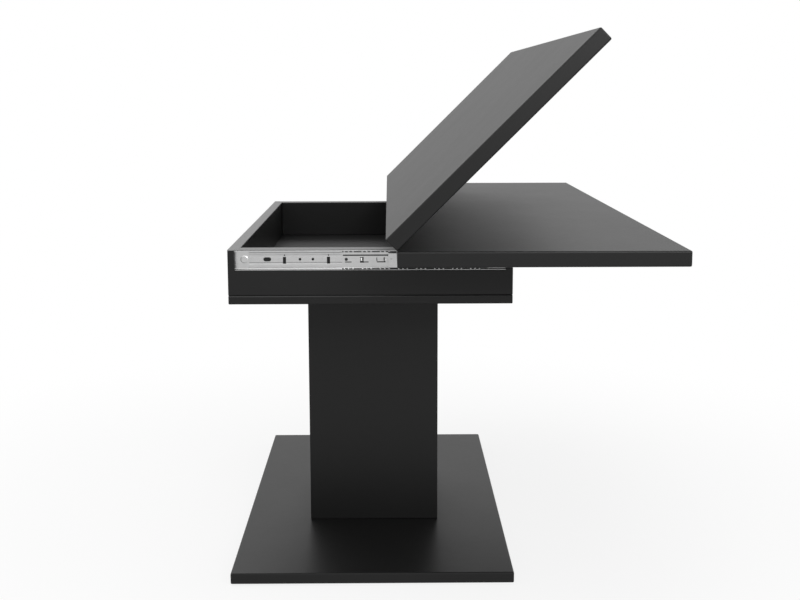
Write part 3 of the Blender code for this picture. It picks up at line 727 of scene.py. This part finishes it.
for pieces, name, material, slot in ((painted_shades, "cage_buffers", finishes["black_nylon"], "black_nylon"),
                                     (lugs, "cage_lugs", zinc, "zinc_steel"),
                                     (catches, "cage_catches", polished, "zinc_steel")):
    for piece in pieces:
        apply(piece, "BEVEL", width=EDGE, segments=1, limit_method="ANGLE")
    front_piece = merge(pieces, "front_" + name)
    for piece in (front_piece, mirrored(front_piece, "rear_" + name)):
        dress(piece, material, "ball_cages")
print("painted_shades", len(painted_shades), "pieces at each cage")

# %% [markdown]
# ## Stop bosses of the runners
# Each runner has a small round boss pressed out near its end, which stops the cage. A short cylinder with
# its front rim bevelled in a few steps makes the dome. A flattened sphere would do too, but it would meet
# the runner at a sharp angle all round, and a pressed boss rises steeply.

# %% Stop bosses
BOSS_RADIUS = 0.0021
BOSS_RISE = 0.0009
BOSS_START = 0.0050
BOSS_LIFT = 0.0022
BOSS_ROUND, BOSS_STEPS = 0.95 * BOSS_RISE, 3
BOSS_SMOOTH = math.radians(50)

runner_low = Vector(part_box("front_runner")[0])
boss_place = (runner_low.x + BOSS_START, runner_low.y, slide_level + BOSS_LIFT)
boss = disc(BOSS_RADIUS, 2 * BOSS_RISE, boss_place, math.pi / 2)
boss.name = "front_runner_boss"
round_rim(boss, lambda place: place.y < runner_low.y, BOSS_ROUND, BOSS_STEPS)
bpy.ops.object.shade_smooth_by_angle(angle=BOSS_SMOOTH)
for piece in (boss, mirrored(boss, "rear_runner_boss")):
    dress(piece, zinc, "sliding_leaf")
print("boss", len(boss.data.polygons), "faces")

# %% [markdown]
# ## Beads on the tray's floor
# Below the seam of the tray's front there is a fine light line. A thin plastic bead covers the top edge of
# the floor board there, and its steep bevel catches the light. It could be a bevelled curve, but a thin
# block whose arris one bisecting plane takes off has exactly the flat face that is needed.

# %% Edge beads
BEAD = (0.0009, 0.0020)
BEAD_GAP = 0.00005
BEAD_END = 0.002
BEAD_DROP = 0.0008
BEVEL_RISE = 0.0017
BEVEL_DEPTH = 0.0006

floor_low, floor_high = [Vector(corner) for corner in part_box("tray_floor")]
bead_back = floor_low.y - BEAD_GAP
bead_top = floor_high.z - BEAD_DROP
bead = block("front_edge_bead", (floor_low.x + BEAD_END, bead_back - BEAD[0], bead_top - BEAD[1]),
             (floor_high.x - BEAD_END, bead_back, bead_top))
slope(bead, bead_back - BEAD[0], bead_top - BEVEL_RISE, BEVEL_RISE, BEVEL_DEPTH)
apply(bead, "BEVEL", width=EDGE, segments=2, limit_method="ANGLE")
for piece in (bead, mirrored(bead, "rear_edge_bead")):
    dress(piece, finishes["black_nylon"], "pedestal")
print("edge beads", len(bead.data.polygons), "faces each")

# %% [markdown]
# ## Screws
# The hinge plates are held by raised countersunk screws with a cross recess, and the battens by the same
# screws from below. A head is a short cylinder whose rim is bevelled to a dome, and two crossed blocks are
# cut out of it. A turned profile could give the head too, but the recess would have to be cut all the same.
# Only the head is made, because the shank is out of sight in the board.

# %% One screw head
HEAD_RADIUS = 0.0030
HEAD_RISE = 0.00035
RECESS = (0.0034, 0.0007)
RECESS_DEPTH = 0.00033
HEAD_ROUND, HEAD_STEPS = 0.9 * HEAD_RISE, 2
HEAD_SMOOTH = math.radians(35)

head = disc(HEAD_RADIUS, 2 * HEAD_RISE)
head.name = "screw_head"
round_rim(head, lambda place: place.z > 0, HEAD_ROUND, HEAD_STEPS)
for long_way, short_way in (RECESS, RECESS[::-1]):
    low = (-long_way / 2, -short_way / 2, HEAD_RISE - RECESS_DEPTH)
    cut(head, block("recess", low, (long_way / 2, short_way / 2, 2 * HEAD_RISE)))
only(head)
bpy.ops.object.shade_smooth_by_angle(angle=HEAD_SMOOTH)
print("screw head", len(head.data.polygons), "faces")

# %% [markdown]
# ## Screws on the hinges and the battens
# The lower plates face the way the leaves slide in, so their screws are turned to face -X. The upper leaf
# stands open at rest. Its screws could be placed on the open leaf at once, but it is easier to place them as
# if it lay folded, and then to turn them about the hinge.

# %% Screws on the hinges
HINGES = 4
PLATE_SCREWS = (-0.022, 0.0, 0.022)
PLATE_SCREW_DROP = 0.0135

hinge = next(joint for joint in record["behaviour"]["joints"] if joint["name"] == "flap_hinge")
hinge_place = Vector(hinge["pos_m"])
plate_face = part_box("lower_leaf")[0][0]
lift = math.radians(-hinge["range_deg"][0])
open_leaf = (Matrix.Translation(hinge_place) @ Matrix.Rotation(-lift, 4, "Y")
             @ Matrix.Translation(-hinge_place))
outwards = Matrix.Rotation(-math.pi / 2, 4, "Y")
sides = (("lower", "sliding_leaf", -1, Matrix()), ("upper", "folding_leaf", 1, open_leaf))
for number in range(1, HINGES + 1):
    low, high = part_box(f"hinge_lower_plate_{number}")
    middle = (low[1] + high[1]) / 2
    for side, body, way, turn in sides:
        heads = []
        for along in PLATE_SCREWS:
            spot = Matrix.Translation((plate_face, middle + along, hinge_place.z + way * PLATE_SCREW_DROP))
            heads.append(copy_to(head, "screw", turn @ spot @ outwards))
        screws = merge(heads, f"hinge_{side}_screws_{number}")
        dress(screws, finishes["hinge_steel"], body)
print("hinge screws", HINGES * len(sides) * len(PLATE_SCREWS))

# %% Screws under the battens
BATTEN_SCREWS = 4
BATTEN_SCREW_INSET = 0.05

downwards = Matrix.Rotation(math.pi, 4, "X")
for name in ("front", "rear"):
    low, high = [Vector(corner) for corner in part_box(f"{name}_batten")]
    step = (high.x - low.x - 2 * BATTEN_SCREW_INSET) / (BATTEN_SCREWS - 1)
    heads = []
    for index in range(BATTEN_SCREWS):
        spot = (low.x + BATTEN_SCREW_INSET + index * step, (low.y + high.y) / 2, low.z)
        heads.append(copy_to(head, "screw", Matrix.Translation(spot) @ downwards))
    dress(merge(heads, f"{name}_batten_screws"), finishes["hinge_steel"], "sliding_leaf")
bpy.data.objects.remove(head, do_unlink=True)
print("batten screws", 2 * BATTEN_SCREWS)

# %% [markdown]
# ## Studio
# A white sweep and a big soft light are enough: black laminate shows mostly what it mirrors. The floor is a
# pale sheet that keeps the table's shadow, and it glows white where it runs out to the horizon. The world
# is white where the camera looks at it. The boards mirror a slightly dimmer horizon with a brighter band
# above it, as from a row of high lamps, and as a lamp the world is weaker, so that colours stay as written.
# Real walls and lamps could be modelled instead, but a world of three levels has fewer numbers to match.

# %% Floor
FLOOR_NEAR = 0.45
FLOOR_FAR = 1.9
FLOOR_GLOW = 0.84
MIRRORED_FLOOR = 0.85
FLOOR_SIZE = 40.0
FLOOR_DROP = 0.0005
PAPER = {"Base_Color": grey(0.94), "Roughness": 0.9, "IOR": 1.2}

begin()
bpy.ops.mesh.primitive_plane_add(size=FLOOR_SIZE, location=(0.0, 0.0, -FLOOR_DROP))
floor = bpy.context.object
floor.name = "studio_floor"
sheet = Finish("studio_floor", **PAPER)
distance = sheet.node("ShaderNodeVectorMath", {"operation": "LENGTH"}, {0: sheet.place()}, out="Value")
reach = FLOOR_GLOW + (1 - FLOOR_GLOW) * distance.rise(FLOOR_NEAR, FLOOR_FAR)
camera_ray = sheet.node("ShaderNodeLightPath", out="Is Camera Ray")
level = camera_ray + (1 - camera_ray) * MIRRORED_FLOOR
glow = sheet.node("ShaderNodeEmission", None, {"Color": level})
paper = Wire(sheet, sheet.shader.outputs[0])
both = sheet.node("ShaderNodeMixShader", None, {0: sheet.seen() * reach, 1: paper, 2: glow})
sheet.join(both, sheet.tree.nodes["Material Output"].inputs["Surface"])
floor.data.materials.append(sheet.material)
floor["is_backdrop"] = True
print("floor glows beyond", FLOOR_FAR, "m")

# %% World
WORLD_AS_LAMP = 0.45
HORIZON = 0.78
SKY = 1.68
ZENITH = 0.60
BAND_FROM = (0.38, 0.50)
BAND_TO = (0.68, 0.78)

world = bpy.data.worlds.new("studio")
bpy.context.scene.world = world
world.use_nodes = True
air = Wiring(world.node_tree)
direction = air.node("ShaderNodeTexCoord", out="Generated")
upwards = air.node("ShaderNodeSeparateXYZ", None, {0: direction}, out="Z")
camera_ray = air.node("ShaderNodeLightPath", out="Is Camera Ray")
mirror_ray = air.seen() - camera_ray
lamp_ray = 1 - camera_ray - mirror_ray
band = (SKY - HORIZON) * upwards.rise(*BAND_FROM)
sky = HORIZON + band + (ZENITH - SKY) * upwards.rise(*BAND_TO)
strength = camera_ray + mirror_ray * sky + lamp_ray * WORLD_AS_LAMP
air.join(strength, air.tree.nodes["Background"].inputs["Color"])
print("world", len(world.node_tree.nodes), "nodes")

# %% Lamps
LAMPS = {
    "top_softbox": {
        "place": (-0.8, 0.2, 3.6), "target": (0.0, 0.0, 0.5), "size": (3.4, 3.4), "power": 50.0},
    "front_softbox": {
        "place": (1.3, -3.4, 1.9), "target": (0.3, -0.8, 0.9), "size": (2.0, 0.8), "power": 36.0},
}


def soft_lamp(name, place, target, size, power):
    """A rectangular area light that faces its target."""
    lamp = bpy.data.lights.new(name, "AREA")
    lamp.shape = "RECTANGLE"
    lamp.size, lamp.size_y = size
    lamp.energy = power
    made = bpy.data.objects.new(name, lamp)
    bpy.context.scene.collection.objects.link(made)
    made.location = place
    made.rotation_euler = (Vector(target) - Vector(place)).to_track_quat("-Z", "Y").to_euler()


for name, settings in LAMPS.items():
    soft_lamp(name, **settings)
print("lamps", list(LAMPS))

# %% [markdown]
# ## Sizes
# The real trim lies within the outline of the boards, so the dressed table has to keep to the box of its
# solids. The two boxes could be compared by eye in a viewport. Here the box of the dressed table is
# printed.

# %% Sizes and finish
low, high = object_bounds()
print("visual box", [round(b - a, 4) for a, b in zip(low, high)])
